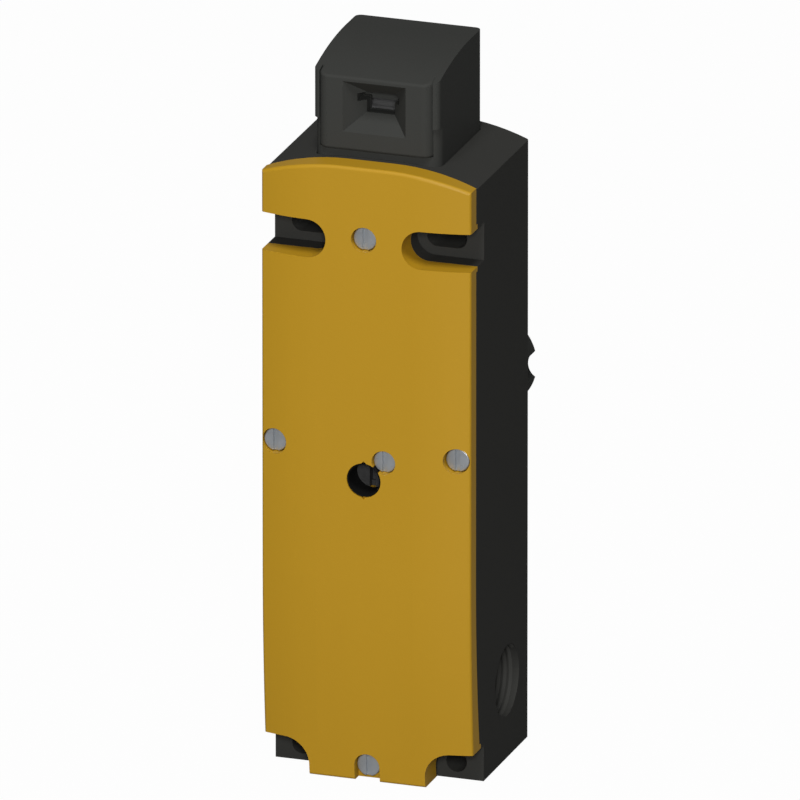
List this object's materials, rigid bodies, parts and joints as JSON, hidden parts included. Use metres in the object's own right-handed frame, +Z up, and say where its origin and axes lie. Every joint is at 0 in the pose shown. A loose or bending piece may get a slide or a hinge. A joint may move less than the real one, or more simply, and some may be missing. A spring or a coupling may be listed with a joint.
{
  "type": "tongue interlock switch",
  "caption": "Tall slim guard switch: moulded housing, crowned front cover, turnable head with a tongue slot, solenoid lock, front release spindle and rear escape knob.",
  "frame": {"origin": "middle of the bottom edge of the back mounting face", "axes": "+X to the switch's right seen from the front, +Y out of the back mounting face towards the guard frame, +Z up along the switch to its head"},
  "size_m": [0.054, 0.0955, 0.1844],
  "materials": {
    "black_shell": "fine grained black moulding",
    "black_head": "satin black moulding",
    "black_knob": "satin black moulding",
    "yellow_cover": "satin ochre yellow moulding",
    "seal_rubber": "smooth seal",
    "zinc_screw": "zinc plated",
    "spring_steel": "bright spring steel",
    "ground_steel": "ground stainless steel",
    "armature_steel": "turned soft iron",
    "frame_steel": "zinc plated sheet",
    "cam_metal": "cast zinc alloy",
    "white_moulding": "natural acetal",
    "coil_winding": "taped winding",
    "switch_moulding": "dark grey moulding",
    "button_plastic": "red acetal",
    "terminal_plastic": "green grey moulding",
    "clamp_brass": "bright brass"
  },
  "bodies": {
    "case": {"housing": "black_shell", "front_cover": "yellow_cover", "cover_gasket": "seal_rubber", "cover_screws": "zinc_screw", "release_lock_screw": "zinc_screw", "head_base": "black_head", "head_body": "black_head", "head_insert": "black_head", "head_screws": "zinc_screw", "head_seal": "seal_rubber", "head_clip": "spring_steel", "drum_axle": "ground_steel", "spring_seat": "white_moulding", "tappet_spring": "spring_steel", "armature_spring": "spring_steel", "solenoid_frame": "frame_steel", "solenoid_core": "armature_steel", "solenoid_bobbin": "white_moulding", "solenoid_coil": "coil_winding", "solenoid_screws": "zinc_screw", "rear_bush": "frame_steel", "position_switch": "switch_moulding", "lock_switch": "switch_moulding", "switch_screws": "zinc_screw", "terminal_block": "terminal_plastic", "terminal_clamps": "clamp_brass", "terminal_screws": "zinc_screw", "block_screws": "zinc_screw"},
    "drum": {"cam_drum": "cam_metal"},
    "tappet": {"position_tappet": "white_moulding", "position_button": "button_plastic"},
    "bolt": {"lock_bolt": "ground_steel", "bolt_arm": "spring_steel", "armature": "armature_steel", "lock_button": "button_plastic"},
    "release": {"release_spindle": "cam_metal", "spindle_seal": "seal_rubber", "rear_crank": "cam_metal", "escape_shaft": "ground_steel", "shaft_seal": "seal_rubber", "escape_knob": "black_knob", "knob_screw": "zinc_screw"}
  },
  "joints": [
    {"name": "cam_turn", "type": "hinge", "parent": "case", "child": "drum", "pos_m": [0, -0.02025, 0.1685], "axis": [-1, 0, 0], "range_deg": [0, 60]},
    {"name": "tappet_slide", "type": "slide", "parent": "case", "child": "tappet", "axis": [0, 0, 1], "range_m": [0, 0.0025], "deforming": ["tappet_spring"]},
    {"name": "release_turn", "type": "hinge", "parent": "case", "child": "release", "pos_m": [0, 0, 0.0793], "axis": [0, -1, 0], "range_deg": [0, 90]},
    {"name": "lock_slide", "type": "slide", "parent": "case", "child": "bolt", "axis": [0, 0, 1], "range_m": [0, 0.005], "stiffness_N_per_m": 200, "springref_m": -0.01, "deforming": ["armature_spring"]}
  ],
  "couplings": [
    {"joint": "tappet_slide", "follows": "cam_turn", "m_per_rad": 0.0023873},
    {"joint": "release_turn", "follows": "lock_slide", "rad_per_m": 314.16}
  ]
}
